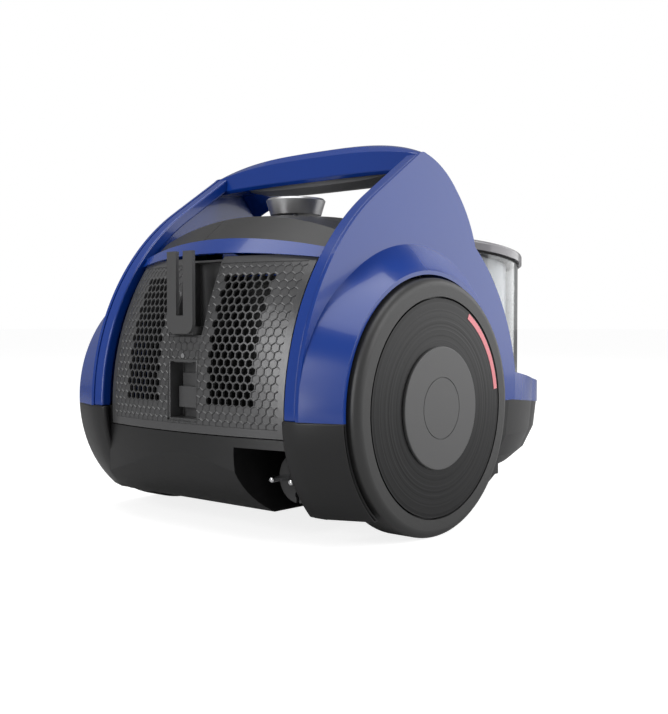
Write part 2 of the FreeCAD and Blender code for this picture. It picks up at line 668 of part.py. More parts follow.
# ---------------------------------------------------------------- wheels and caster
def wheel_pieces():
    """The left wheel. The right one is its mirror image."""
    z = WHEEL_R
    tyre = ring_x(83.0, WHEEL_R, WHEEL_INNER_X, WHEEL_FACE_X, 0, z)
    rims = [e for e in tyre.Edges if e.Closed and e.BoundBox.ZMax > 2 * WHEEL_R - 0.5 and e.BoundBox.XLength < 0.1]
    tyre = tyre.makeFillet(6.0, rims)
    rim = union([
        ring_x(AXLE_R + RUNNING, 14, 119, 149.4, 0, z),
        ring_x(14, 79, 136, 140, 0, z),
        ring_x(78, 83, 126, 152.4, 0, z),
        ring_x(20, 24, 139, 152.4, 0, z),
    ])
    disc = ring_x(19, DISC_R, 152.4, 156.8, 0, z)
    corners = [V(156.3, 0, z + 76.0), V(157.0, 0, z + 76.0), V(157.0, 0, z + 80.5), V(156.3, 0, z + 80.5)]
    arc = Part.Face(Part.makePolygon(corners + corners[:1]))
    arc = arc.rotate(V(0, 0, z), V(1, 0, 0), 29).revolve(V(0, 0, z), V(1, 0, 0), 53)
    disc = disc.cut(arc)
    cap = rod_x(HUBCAP_R, 156.8, 158.8, 0, z)
    cap = cap.makeFillet(0.8, [e for e in cap.Edges if e.BoundBox.XMin > 158.7])
    cap = cap.cut(ring_x(22.7, 23.3, 158.2, 160, 0, z))
    return {"wheel_rim": rim, "tyre": tyre, "wheel_disc": disc, "accent_arc": arc, "hubcap": cap}


def axle_stub():
    axle = rod_x(AXLE_R, 104, 151.6, 0, WHEEL_R)
    clip = rod_x(9.0, 149.6, 150.8, 0, WHEEL_R)
    return axle.fuse(clip).removeSplitter()


def caster_pieces():
    y = CASTER_Y
    wheel_y = y + CASTER_TRAIL
    plate = rod_z(24, 50.5, 54.4, 0, y).fuse(rod_z(AXLE_R, 54.4, 71.0, 0, y))
    ears = [plate]
    for side in (1, -1):
        x0, x1 = sorted((side * 10.5, side * 14.0))
        ear = side_slab((y - 14, 51), [(y - 8, 30), (wheel_y - 7, CASTER_R), (wheel_y, CASTER_R - 7,
                        wheel_y + 7, CASTER_R), (y + 18, 51)], x0, x1)
        ears.append(ear)
    fork = union(ears).cut(rod_x(2.5, -20, 20, wheel_y, CASTER_R))
    wheel = ring_x(2.5 + RUNNING, CASTER_R, -9, 9, wheel_y, CASTER_R)
    wheel = wheel.makeFillet(3.0, [e for e in wheel.Edges if e.Closed and e.BoundBox.ZLength > 30
                                   and e.BoundBox.XLength < 0.1])
    return {"caster_fork": fork, "caster_wheel": wheel, "caster_pin": rod_x(2.5, -14, 14, wheel_y, CASTER_R)}


# ---------------------------------------------------------------- dust cup
def under_lid(drop):
    """Everything under the slanted plane of the lid's underside, lowered by a drop."""
    y0, y1 = CUP_Y + 120, CUP_Y - 120
    z0, z1 = (LID_MID_Z - drop + LID_SLOPE * (y - CUP_Y) for y in (y0, y1))
    return side_slab((y0, z0), [(y1, z1), (y1, 0), (y0, 0)], -150, 150)


def cup_pieces():
    y = CUP_Y
    inlet = rod_y(INLET_OUT_R, y - 90, y - 40, 0, INLET_Z)
    port = rod_y(15, y + 40, y + 90, 0, 190)
    wall = ring_z(CUP_R - CUP_WALL, CUP_R, CUP_FLOOR_Z, 260, 0, y).common(under_lid(2.0))
    cup = wall.fuse(rod_z(CUP_R - 1, CUP_FLOOR_Z, CUP_FLOOR_Z + 3, 0, y)).cut(inlet).cut(port)
    profile = [(CYCLONE_R, 126), (CYCLONE_R, 260), (CYCLONE_R - 2, 260), (CYCLONE_R - 2, 127.5), (32, 113),
               (32, 111), (34, 111)]
    cyclone = revolve_z(profile, 0, y).common(under_lid(3.0)).cut(inlet).cut(port)
    cyclone = cyclone.fuse(ring_z(26, CYCLONE_R - 1, 201, 203, 0, y))
    screen = ring_z(26, 28, 130, 201, 0, y)
    collar = rod_y(INLET_OUT_R, FRONT_Y, y - 60, 0, INLET_Z)
    collar = collar.cut(rod_y(INLET_BORE_R, FRONT_Y - 5, y - 50, 0, INLET_Z))
    return {
        "dust_cup": cup.removeSplitter(),
        "cyclone_body": cyclone.removeSplitter(),
        "cyclone_screen": screen,
        "hose_collar": collar,
    }


def lid_pieces():
    y = CUP_Y
    lid = rod_z(LID_R, 150, 280, 0, y).common(under_lid(-LID_T)).cut(under_lid(0))
    rim = [e for e in lid.Edges if e.BoundBox.ZLength > 15 and e.BoundBox.ZMax > 240]
    lid = lid.makeFillet(2.5, rim)
    recess = rod_z(70.0, 150, 280, 0, y).common(under_lid(-LID_T + 3.5)).cut(under_lid(0.5))
    lid = lid.cut(recess)
    grip = side_slab((y + 42, 225), [(y + 36, 252, y + 22, 260), (y - 22, 257), (y - 36, 246, y - 42, 222)], -9, 9)
    hole = side_slab((y + 33, 225), [(y + 29, 245, y + 18, 252), (y - 18, 249), (y - 29, 240, y - 33, 222)], -12, 12)
    grip = grip.cut(hole).cut(under_lid(-LID_T + 0.5))
    seal = ring_z(72.0, 76.5, 150, 280, 0, y).common(under_lid(0)).cut(under_lid(1.8))
    return {"cup_lid": lid.fuse(grip).removeSplitter(), "lid_seal": seal}


# ---------------------------------------------------------------- fasteners
SCREWS = [(50.0, -118.0), (-50.0, -118.0), (30.0, 62.0), (-30.0, 62.0)]


def fasteners(tub):
    screws = []
    for x, y in SCREWS:
        boss = rod_z(5.5, SILL_Z + 1, 44.0, x, y)
        tub = tub.fuse(boss).cut(rod_z(2.0, 0, 50, x, y)).cut(rod_z(4.2, 0, SILL_Z + 1.6, x, y))
        screws.append(rod_z(4.2, SILL_Z + 0.2, SILL_Z + 1.6, x, y).fuse(rod_z(2.0, SILL_Z + 1.6, 44.0, x, y)))
    return tub.removeSplitter(), Part.makeCompound(screws)


def make_all():
    tub, screws = fasteners(base_tub())
    parts["base_tub"] = tub
    parts["housing_screws"] = screws
    cover = side_cover()
    parts["left_side_cover"] = cover
    parts["right_side_cover"] = mirrored(cover)
    parts["handle_shell"] = handle_shell()
    grip = handle_grip().cut(parts["handle_shell"])
    parts["handle_grip"] = max(grip.Solids, key=lambda solid: solid.Volume)
    parts["rear_strip"] = rear_strip()
    parts["bulkhead"] = bulkhead()
    for maker in (cap_pieces, chin_pieces, controls, grille_pieces, filters, motor_pieces, reel_pieces,
                  plug_pieces, caster_pieces, cup_pieces, lid_pieces):
        parts.update(maker())
    for pedal in ("power_pedal", "rewind_pedal"):
        for drop in (0.5 * PEDAL_TRAVEL, PEDAL_TRAVEL):
            swept = parts[pedal].translated(V(0, SPLIT, -drop - SPLIT))
            parts["exhaust_grille"] = parts["exhaust_grille"].cut(swept)
    for name, shape in wheel_pieces().items():
        parts["left_" + name] = shape
        parts["right_" + name] = mirrored(shape)
    stub = axle_stub()
    parts["wheel_axles"] = Part.makeCompound([stub, mirrored(stub)])


def save_all():
    os.makedirs("parts", exist_ok=True)
    for name, shape in sorted(parts.items()):
        placed = shape.copy()
        placed.translate(ROW_SHIFT)
        placed.exportStep("parts/" + name + ".step")
        state = "" if placed.isValid() else "  INVALID"
        print(name, len(placed.Solids), "solids", round(placed.Volume / 1000.0, 1), "cm3" + state)


make_all()
save_all()
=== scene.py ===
import json
import math

import bmesh
import bpy
from mathutils import Matrix, Vector


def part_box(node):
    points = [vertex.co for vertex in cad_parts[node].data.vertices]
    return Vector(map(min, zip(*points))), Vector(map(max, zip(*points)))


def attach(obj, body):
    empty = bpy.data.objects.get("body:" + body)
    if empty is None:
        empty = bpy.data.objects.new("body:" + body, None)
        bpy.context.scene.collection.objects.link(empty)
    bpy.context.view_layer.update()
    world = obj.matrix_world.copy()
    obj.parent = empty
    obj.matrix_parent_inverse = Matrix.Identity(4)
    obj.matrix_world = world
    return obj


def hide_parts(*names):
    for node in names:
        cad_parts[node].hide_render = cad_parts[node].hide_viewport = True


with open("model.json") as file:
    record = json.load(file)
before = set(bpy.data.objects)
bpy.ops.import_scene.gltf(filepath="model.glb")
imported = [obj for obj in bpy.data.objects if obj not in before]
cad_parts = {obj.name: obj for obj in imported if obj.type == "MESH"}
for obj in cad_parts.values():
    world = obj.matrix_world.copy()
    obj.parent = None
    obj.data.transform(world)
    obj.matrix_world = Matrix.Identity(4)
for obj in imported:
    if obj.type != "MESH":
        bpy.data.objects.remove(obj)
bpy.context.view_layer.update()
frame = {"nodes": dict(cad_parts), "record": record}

bl_info = {
    "name": "Canister vacuum cleaner",
    "version": (1, 0, 0),
    "blender": (4, 5, 0),
    "location": "3D View > Sidebar > Vacuum",
    "description": "Builds the visible pieces of a canister vacuum cleaner round its packed CAD model",
    "category": "Add Mesh",
}

MM = 0.001
WHEEL_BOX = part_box("right_tyre")
AXLE_Y = (WHEEL_BOX[0].y + WHEEL_BOX[1].y) / 2
AXLE_Z = (WHEEL_BOX[0].z + WHEEL_BOX[1].z) / 2


# ------------------------------------------------------------------ settings
class VacuumSizes(bpy.types.PropertyGroup):
    """Sizes of the pieces that are drawn here, in metres."""
    hex_pitch: bpy.props.FloatProperty(
        name="Hexagon pitch", description="Distance between neighbouring grille holes",
        default=0.0066, min=0.003, unit="LENGTH")
    hex_bar: bpy.props.FloatProperty(
        name="Hexagon bar", description="Half of the plastic left between two grille holes",
        default=0.00055, min=0.0002, unit="LENGTH")
    hex_depth: bpy.props.FloatProperty(
        name="Blind hexagon depth", description="How deep the closed hexagons are pressed in",
        default=0.0007, min=0.0001, unit="LENGTH")
    panel_wall: bpy.props.FloatProperty(
        name="Panel wall", description="Thickness of the exhaust grille's panel",
        default=0.0022, min=0.0005, unit="LENGTH")


class VacuumColours(bpy.types.PropertyGroup):
    """The colours of the main mouldings."""
    blue: bpy.props.FloatVectorProperty(
        name="Cover blue", description="Colour of the glossy side covers and the handle",
        subtype="COLOR", size=3, default=(0.004, 0.040, 0.270), min=0, max=1)
    black: bpy.props.FloatVectorProperty(
        name="Base black", description="Colour of the base moulding",
        subtype="COLOR", size=3, default=(0.010, 0.010, 0.0105), min=0, max=1)
    grille: bpy.props.FloatVectorProperty(
        name="Grille grey", description="Colour of the exhaust grille",
        subtype="COLOR", size=3, default=(0.095, 0.095, 0.097), min=0, max=1)
    disc: bpy.props.FloatVectorProperty(
        name="Disc grey", description="Colour of the brushed wheel discs",
        subtype="COLOR", size=3, default=(0.020, 0.020, 0.0205), min=0, max=1)
    hubcap: bpy.props.FloatVectorProperty(
        name="Hubcap grey", description="Colour of the hubcaps",
        subtype="COLOR", size=3, default=(0.085, 0.085, 0.086), min=0, max=1)
    accent: bpy.props.FloatVectorProperty(
        name="Accent red", description="Colour of the arc in the wheel discs",
        subtype="COLOR", size=3, default=(0.80, 0.24, 0.27), min=0, max=1)


def sizes():
    return bpy.context.scene.vacuum_sizes


def colours():
    return bpy.context.scene.vacuum_colours


# ------------------------------------------------------------------ shader groups
def new_group(name, inputs, outputs):
    group = bpy.data.node_groups.new(name, "ShaderNodeTree")
    for label, default in inputs:
        socket = group.interface.new_socket(name=label, in_out="INPUT", socket_type="NodeSocketFloat")
        socket.default_value = default
    for label, kind in outputs:
        group.interface.new_socket(name=label, in_out="OUTPUT", socket_type=kind)
    return group, group.nodes.new("NodeGroupInput"), group.nodes.new("NodeGroupOutput")


def maths(tree, operation, a, b):
    node = tree.nodes.new("ShaderNodeMath")
    node.operation = operation
    for socket, value in zip(node.inputs, (a, b)):
        if isinstance(value, (int, float)):
            socket.default_value = value
        else:
            tree.links.new(value, socket)
    return node.outputs[0]


def moulded_surface_group():
    """Fine moulded grain, with a slow change of gloss and shade as handled plastic has."""
    group, given, out = new_group(
        "moulded_surface",
        [("Grain Scale", 2500.0), ("Roughness", 0.4), ("Roughness Change", 0.08), ("Shade Change", 0.06)],
        [("Height", "NodeSocketFloat"), ("Roughness", "NodeSocketFloat"), ("Shade", "NodeSocketFloat")])
    place = group.nodes.new("ShaderNodeTexCoord").outputs["Object"]
    grain = group.nodes.new("ShaderNodeTexNoise")
    grain.inputs["Detail"].default_value = 3.0
    group.links.new(place, grain.inputs["Vector"])
    group.links.new(given.outputs["Grain Scale"], grain.inputs["Scale"])
    cloud = group.nodes.new("ShaderNodeTexNoise")
    cloud.inputs["Scale"].default_value = 14.0
    cloud.inputs["Detail"].default_value = 6.0
    group.links.new(place, cloud.inputs["Vector"])
    centred = maths(group, "SUBTRACT", cloud.outputs[0], 0.5)
    rough = maths(group, "MULTIPLY", centred, given.outputs["Roughness Change"])
    shade = maths(group, "MULTIPLY", centred, given.outputs["Shade Change"])
    group.links.new(grain.outputs[0], out.inputs["Height"])
    group.links.new(maths(group, "ADD", rough, given.outputs["Roughness"]), out.inputs["Roughness"])
    group.links.new(maths(group, "ADD", shade, 1.0), out.inputs["Shade"])
    return group


def turned_rings_group():
    """Fine rings about the wheel's axle, as circular brushing leaves them."""
    group, given, out = new_group(
        "turned_rings", [("Rings", 900.0), ("Axle Y", 0.0), ("Axle Z", 0.0)],
        [("Height", "NodeSocketFloat"), ("Shade", "NodeSocketFloat")])
    place = group.nodes.new("ShaderNodeTexCoord").outputs["Object"]
    split = group.nodes.new("ShaderNodeSeparateXYZ")
    group.links.new(place, split.inputs[0])
    y = maths(group, "SUBTRACT", split.outputs["Y"], given.outputs["Axle Y"])
    z = maths(group, "SUBTRACT", split.outputs["Z"], given.outputs["Axle Z"])
    square = maths(group, "ADD", maths(group, "MULTIPLY", y, y), maths(group, "MULTIPLY", z, z))
    radius = maths(group, "SQRT", square, 0.0)
    rings = group.nodes.new("ShaderNodeTexNoise")
    rings.noise_dimensions = "1D"
    rings.inputs["Detail"].default_value = 4.0
    group.links.new(radius, rings.inputs["W"])
    group.links.new(given.outputs["Rings"], rings.inputs["Scale"])
    group.links.new(rings.outputs[0], out.inputs["Height"])
    group.links.new(maths(group, "ADD", maths(group, "MULTIPLY", rings.outputs[0], 1.6), 0.2),
                    out.inputs["Shade"])
    return group


def dust_group():
    """A thin film of dust on faces that look up."""
    group, given, out = new_group("settled_dust", [("Amount", 0.05)], [("Mask", "NodeSocketFloat")])
    place = group.nodes.new("ShaderNodeTexCoord").outputs["Object"]
    cloud = group.nodes.new("ShaderNodeTexNoise")
    cloud.inputs["Scale"].default_value = 40.0
    cloud.inputs["Detail"].default_value = 5.0
    group.links.new(place, cloud.inputs["Vector"])
    facing = group.nodes.new("ShaderNodeNewGeometry")
    split = group.nodes.new("ShaderNodeSeparateXYZ")
    group.links.new(facing.outputs["Normal"], split.inputs[0])
    upward = maths(group, "MAXIMUM", split.outputs["Z"], 0.0)
    patches = maths(group, "MULTIPLY", upward, cloud.outputs[0])
    group.links.new(maths(group, "MULTIPLY", patches, given.outputs["Amount"]), out.inputs["Mask"])
    return group


GROUPS = {}


def group_node(tree, name, values):
    if name not in GROUPS:
        GROUPS[name] = {"moulded_surface": moulded_surface_group, "turned_rings": turned_rings_group,
                        "settled_dust": dust_group}[name]()
    node = tree.nodes.new("ShaderNodeGroup")
    node.node_tree = GROUPS[name]
    for label, value in values.items():
        node.inputs[label].default_value = value
    return node


# ------------------------------------------------------------------ materials
PLASTIC_IOR, COAT_ROUGHNESS = 1.46, 0.04
SHADE_CHANGE = 0.08
DUST_COLOUR = (0.45, 0.44, 0.42, 1.0)
BUMP_DISTANCE = 0.0004


def finish(name, colour, rough, grain=2500.0, depth=0.02, dust=0.03, metallic=0.0, coat=0.0, rings=0.0,
           change=0.08, transmission=0.0):
    """A Principled material with moulded grain, slow gloss changes, dust and, if asked, turned rings."""
    material = bpy.data.materials.new(name)
    material.use_nodes = True
    tree = material.node_tree
    shader = tree.nodes["Principled BSDF"]
    shader.inputs["Metallic"].default_value = metallic
    shader.inputs["Coat Weight"].default_value = coat
    shader.inputs["Coat Roughness"].default_value = COAT_ROUGHNESS
    shader.inputs["Transmission Weight"].default_value = transmission
    shader.inputs["IOR"].default_value = PLASTIC_IOR
    surface = group_node(tree, "moulded_surface", {
        "Grain Scale": grain, "Roughness": rough, "Roughness Change": change, "Shade Change": SHADE_CHANGE})
    height, shade = surface.outputs["Height"], surface.outputs["Shade"]
    if rings:
        turned = group_node(tree, "turned_rings", {"Rings": rings, "Axle Y": AXLE_Y, "Axle Z": AXLE_Z})
        height = turned.outputs["Height"]
        shade = maths(tree, "MULTIPLY", shade, turned.outputs["Shade"])
    tint = tree.nodes.new("ShaderNodeMix")
    tint.data_type = "RGBA"
    tint.blend_type = "MULTIPLY"
    tint.inputs["Factor"].default_value = 1.0
    tint.inputs["A"].default_value = (*colour, 1.0)
    tree.links.new(shade, tint.inputs["B"])
    film = group_node(tree, "settled_dust", {"Amount": dust})
    dusty = tree.nodes.new("ShaderNodeMix")
    dusty.data_type = "RGBA"
    dusty.inputs["B"].default_value = DUST_COLOUR
    tree.links.new(film.outputs["Mask"], dusty.inputs["Factor"])
    tree.links.new(tint.outputs["Result"], dusty.inputs["A"])
    tree.links.new(dusty.outputs["Result"], shader.inputs["Base Color"])
    tree.links.new(surface.outputs["Roughness"], shader.inputs["Roughness"])
    bump = tree.nodes.new("ShaderNodeBump")
    bump.inputs["Strength"].default_value = depth
    bump.inputs["Distance"].default_value = BUMP_DISTANCE
    tree.links.new(height, bump.inputs["Height"])
    tree.links.new(bump.outputs["Normal"], shader.inputs["Normal"])
    return material


def all_finishes():
    pick = colours()
    return {
        "black_plastic": finish("base_black", pick.black, 0.36, depth=0.10),
        "blue_plastic": finish("cover_blue", pick.blue, 0.22, depth=0.008, dust=0.0, coat=0.35,
                               change=0.03),
        "dark_grey_plastic": finish("deck_grey", (0.022, 0.022, 0.0225), 0.42, depth=0.12),
        "grille_grey": finish("grille_grey", pick.grille, 0.30, depth=0.06, metallic=0.35),
        "bracket_grey": finish("bracket_grey", (0.072, 0.072, 0.073), 0.40, depth=0.10),
        "grip_grey": finish("grip_grey", (0.16, 0.16, 0.165), 0.55, depth=0.15),
        "silver_plastic": finish("silver_lacquer", (0.48, 0.48, 0.49), 0.30, depth=0.03, metallic=0.85),
        "board": finish("board_green", (0.02, 0.12, 0.05), 0.45),
        "steel": finish("plain_steel", (0.50, 0.50, 0.51), 0.32, metallic=1.0),
        "lamination": finish("core_sheet", (0.20, 0.20, 0.21), 0.45, metallic=0.8),
        "aluminium": finish("pressed_aluminium", (0.70, 0.70, 0.71), 0.30, metallic=1.0),
        "black_rubber": finish("black_rubber", (0.012, 0.012, 0.012), 0.65, depth=0.15),
        "cord_black": finish("cord_black", (0.012, 0.012, 0.012), 0.5, depth=0.1),
        "filter_white": finish("filter_grey", (0.03, 0.03, 0.03), 0.95, grain=900.0, depth=0.5, dust=0.0),
        "foam": finish("foam_grey", (0.06, 0.06, 0.07), 0.95, grain=700.0, depth=0.8),
        "plug_grey": finish("plug_grey", (0.045, 0.045, 0.046), 0.45, depth=0.08),
        "plug_metal": finish("pin_nickel", (0.75, 0.75, 0.76), 0.16, metallic=1.0, dust=0.0),
        "clear_plastic": finish("clear_cup", (0.93, 0.95, 0.96), 0.04, depth=0.004, dust=0.0,
                                transmission=1.0, change=0.02),
        "smoke_plastic": finish("smoke_lid", (0.36, 0.35, 0.37), 0.16, depth=0.01, coat=0.3,
                                transmission=0.3),
        "pale_plastic": finish("milky_cyclone", (0.80, 0.80, 0.81), 0.28, depth=0.02),
        "tyre_grey": finish("tyre_grey", (0.036, 0.036, 0.036), 0.42, depth=0.14),
        "brushed_disc": finish("brushed_disc", pick.disc, 0.30, depth=0.30, rings=420.0, dust=0.0,
                               metallic=0.6),
        "accent_red": finish("accent_red", pick.accent, 0.32, depth=0.02, dust=0.0),
        "hubcap_grey": finish("hubcap_grey", pick.hubcap, 0.42, depth=0.05, dust=0.0),
    }


FINISHES = {}


def slot_material(slot):
    if not FINISHES:
        FINISHES.update(all_finishes())
    return FINISHES[slot]


# ------------------------------------------------------------------ mesh helpers
SIDES = ((1, "left"), (-1, "right"))
BEVEL_SEGMENTS = 3
BEVEL_FROM, SHARP_FROM = math.radians(35), math.radians(32)
WELD = 0.01 * MM


def drop_piece(mesh_data, name, body, slot, stands_for=(), smooth=True, bevel=0.0):
    """Turns a bmesh into a piece at the origin, gives it its finish, and ties it to its CAD body."""
    mesh = bpy.data.meshes.new(name)
    mesh_data.to_mesh(mesh)
    mesh_data.free()
    piece = bpy.data.objects.new(name, mesh)
    bpy.context.scene.collection.objects.link(piece)
    mesh.materials.append(slot_material(slot))
    if bevel:
        modifier = piece.modifiers.new("rounded_edges", "BEVEL")
        modifier.width = bevel
        modifier.segments = BEVEL_SEGMENTS
        modifier.limit_method = "ANGLE"
        modifier.angle_limit = BEVEL_FROM
        piece.modifiers.new("even_shading", "WEIGHTED_NORMAL").keep_sharp = True
    if smooth:
        mesh.shade_smooth()
        mesh.set_sharp_from_angle(angle=SHARP_FROM)
    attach(piece, body)
    if stands_for:
        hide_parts(*stands_for)
    return piece


def row_point(x, y, z):
    """The frame's point for one in millimetres, with y from the rear axle and z from the floor."""
    return Vector((x * MM, y * MM + AXLE_Y, z * MM))


def closed_skin(columns, rows, point_at, side=1):
    """A grid whose corners stand where point_at(column, row) says, its x times side, welded and closed."""
    mesh = bmesh.new()
    bmesh.ops.create_grid(mesh, x_segments=columns, y_segments=rows, size=0.5)
    for v in mesh.verts:
        x, y, z = point_at(round((v.co.x + 0.5) * columns), round((v.co.y + 0.5) * rows))
        v.co = row_point(side * x, y, z)
    bmesh.ops.remove_doubles(mesh, verts=mesh.verts, dist=WELD)
    bmesh.ops.holes_fill(mesh, edges=[e for e in mesh.edges if e.is_boundary], sides=0)
    bmesh.ops.recalc_face_normals(mesh, faces=mesh.faces)
    return mesh


# ------------------------------------------------------------------ outlines, in millimetres
REAR_ARC_R, REAR_ARC_Y, PARTING_Z = 200.0, -87.2, 92.0
RAKE = math.radians(56)
# heights, and how far to the rear the middle of the grille stands there
GRILLE_ROWS = [(78, 116.4), (100, 116.2), (125, 115.3), (150, 112.6), (172, 106.6), (192, 98.8), (211, 90.0)]
GRILLE_HALF, SIDE_SETBACK = 98.0, 6.5    # where its sides stand, and how far inside the side walls' edge


def rear_edge_y(z):
    """Where the side walls' rear edge stands at a height."""
    knee_z = PARTING_Z + REAR_ARC_R * math.sin(RAKE)
    if z <= knee_z:
        return REAR_ARC_Y + math.sqrt(REAR_ARC_R ** 2 - (z - PARTING_Z) ** 2)
    return REAR_ARC_Y + REAR_ARC_R * math.cos(RAKE) - (z - knee_z) * math.tan(RAKE)


def grille_y(x, z):
    """The rear face of the grille: proud in the middle, following the side walls at its sides."""
    height = min(max(z, GRILLE_ROWS[0][0]), GRILLE_ROWS[-1][0])
    for (z0, y0), (z1, y1) in zip(GRILLE_ROWS, GRILLE_ROWS[1:]):
        if height <= z1:
            middle = y0 + (y1 - y0) * (height - z0) / (z1 - z0)
            break
    share = (x / GRILLE_HALF) ** 2
    return middle + (rear_edge_y(z) - SIDE_SETBACK - middle) * share


# ------------------------------------------------------------------ grille
RECESS = (19.0, 150.0)            # half width and foot of the recess behind the parking plate
POCKET = (16.4, 86.2, 132.8)      # half width, foot and top of the catch's pocket
HOLE_FIELD = (27.0, 72.0, 97.0, 198.0)   # through holes: inner and outer x, lowest and highest z
FIELD_EDGE = (92.5, 84.0, 206.0)         # where the hexagons end: half width, lowest and highest z
PANEL_EDGE = (97.5, 78.0, 211.0)         # where the panel ends: half width, lowest and highest z
COMB_FOOT, COMB_TALL, COMB_WIDE = 74.0, 150, 210     # the honeycomb before it is trimmed
SMALLEST_CELL = 6.0                      # mm2: a smaller scrap of a hexagon stays smooth
RECESS_BOX = ((-19.0, 78.5, 149.4), (19.0, 111.5, 209.0))
POCKET_BOX = ((-16.4, 99.5, 86.2), (16.4, 114.6, 132.8))
RECESS_WALL, RECESS_BEHIND = 1.8, 0.6    # its wall, and how far it stays behind the grille's face


def slice_near(mesh, point, normal, test):
    """Cuts only the faces that pass the test, so that cells elsewhere stay whole."""
    faces = [f for f in mesh.faces if test(f.calc_center_median())]
    edges = {e for f in faces for e in f.edges}
    verts = {v for f in faces for v in f.verts}
    bmesh.ops.bisect_plane(mesh, geom=[*verts, *edges, *faces], plane_co=point, plane_no=normal, dist=1e-5)


def honeycomb(pitch):
    """A flat field of hexagons in x and z, in millimetres, larger than the panel."""
    mesh = bmesh.new()
    radius = pitch / math.sqrt(3)
    rows = int(COMB_TALL / (1.5 * radius)) + 2
    columns = int(COMB_WIDE / pitch) + 2
    stand = Matrix.Rotation(math.radians(90), 4, "X")
    for row in range(rows):
        for column in range(-columns // 2, columns // 2 + 1):
            x = (column + 0.5 * (row % 2)) * pitch
            z = COMB_FOOT + row * 1.5 * radius
            bmesh.ops.create_circle(mesh, cap_ends=True, segments=6, radius=radius,
                                    matrix=Matrix.Translation((x, 0, z)) @ stand)
    bmesh.ops.remove_doubles(mesh, verts=mesh.verts, dist=0.02)
    return mesh


def in_hole_field(point):
    """Whether a point of the panel lies where the hexagons go through."""
    inner, outer, low, high = HOLE_FIELD
    return inner < abs(point.x) < outer and low < point.z < high


class VACUUM_OT_grille(bpy.types.Operator):
    """Build the bulged exhaust grille with its open and blind hexagons"""
    bl_idname = "vacuum.grille"
    bl_label = "Exhaust grille"

    def execute(self, context):
        size = sizes()
        pitch, bar = size.hex_pitch / MM, size.hex_bar / MM
        mesh = honeycomb(pitch)
        edge_x, low, high = FIELD_EDGE
        panel_x, panel_low, panel_high = PANEL_EDGE
        for x in (-panel_x, panel_x, -edge_x, edge_x):
            slice_near(mesh, (x, 0, 0), (1, 0, 0), lambda c: abs(c.x - x) < pitch)
        for z in (panel_low, panel_high, low, high):
            slice_near(mesh, (0, 0, z), (0, 0, 1), lambda c: abs(c.z - z) < pitch)
        for side in (-1, 1):
            x = side * RECESS[0]
            slice_near(mesh, (x, 0, 0), (1, 0, 0), lambda c: abs(c.x - x) < pitch and
                       c.z > RECESS[1] - pitch)
            x = side * POCKET[0]
            slice_near(mesh, (x, 0, 0), (1, 0, 0), lambda c: abs(c.x - x) < pitch and
                       POCKET[1] - pitch < c.z < POCKET[2] + pitch)
        slice_near(mesh, (0, 0, RECESS[1]), (0, 0, 1), lambda c: abs(c.z - RECESS[1]) < pitch and
                   abs(c.x) < RECESS[0])
        for z in POCKET[1:]:
            slice_near(mesh, (0, 0, z), (0, 0, 1), lambda c: abs(c.z - z) < pitch and
                       abs(c.x) < POCKET[0])
        outside, smooth_edge = [], set()
        for face in mesh.faces:
            c = face.calc_center_median()
            in_recess = abs(c.x) < RECESS[0] and c.z > RECESS[1]
            in_pocket = abs(c.x) < POCKET[0] and POCKET[1] < c.z < POCKET[2]
            past_panel = abs(c.x) > panel_x or not panel_low <= c.z <= panel_high
            if past_panel or in_recess or in_pocket:
                outside.append(face)
            elif abs(c.x) > edge_x or not low <= c.z <= high or face.calc_area() < SMALLEST_CELL:
                smooth_edge.add(face)
        bmesh.ops.delete(mesh, geom=outside, context="FACES")
        cells = [f for f in mesh.faces if f not in smooth_edge]
        open_cells = [f for f in cells if in_hole_field(f.calc_center_median()) and len(f.verts) == 6]
        through = set(open_cells)
        blind = [f for f in cells if f not in through]
        for group in (open_cells, blind):
            bmesh.ops.inset_individual(mesh, faces=group, thickness=bar, use_even_offset=True)
        for face in blind:
            bmesh.ops.translate(mesh, verts=face.verts, vec=(0, -size.hex_depth / MM, 0))
        bmesh.ops.delete(mesh, geom=open_cells, context="FACES")
        for v in mesh.verts:
            x, drop, z = v.co
            v.co = row_point(x, grille_y(x, z) + drop, z)
        bmesh.ops.recalc_face_normals(mesh, faces=mesh.faces)
        middle = max(mesh.faces, key=lambda f: f.calc_area())
        if middle.normal.y < 0:
            bmesh.ops.reverse_faces(mesh, faces=mesh.faces)
        panel = drop_piece(mesh, "grille_panel", "grille_door", "grille_grey", ["exhaust_grille"],
                           smooth=False)
        wall = panel.modifiers.new("wall", "SOLIDIFY")
        wall.thickness = size.panel_wall
        wall.offset = -1.0
        return {"FINISHED"}


def open_box(mesh, low, high, wall):
    """A box without its rear side, with walls of a thickness inside it, in millimetres."""
    made = bmesh.ops.create_cube(mesh, size=1.0)["verts"]
    middle = [(a + b) / 2 for a, b in zip(low, high)]
    spans = [b - a for a, b in zip(low, high)]
    bmesh.ops.scale(mesh, verts=made, vec=spans)
    bmesh.ops.translate(mesh, verts=made, vec=middle)
    faces = {f for v in made for f in v.link_faces}
    rear = [f for f in faces if f.calc_center_median().y > high[1] - 0.01]
    bmesh.ops.delete(mesh, geom=rear, context="FACES_ONLY")
    shell = list({f for v in made for f in v.link_faces})
    bmesh.ops.recalc_face_normals(mesh, faces=shell)
    bmesh.ops.solidify(mesh, geom=shell, thickness=wall)


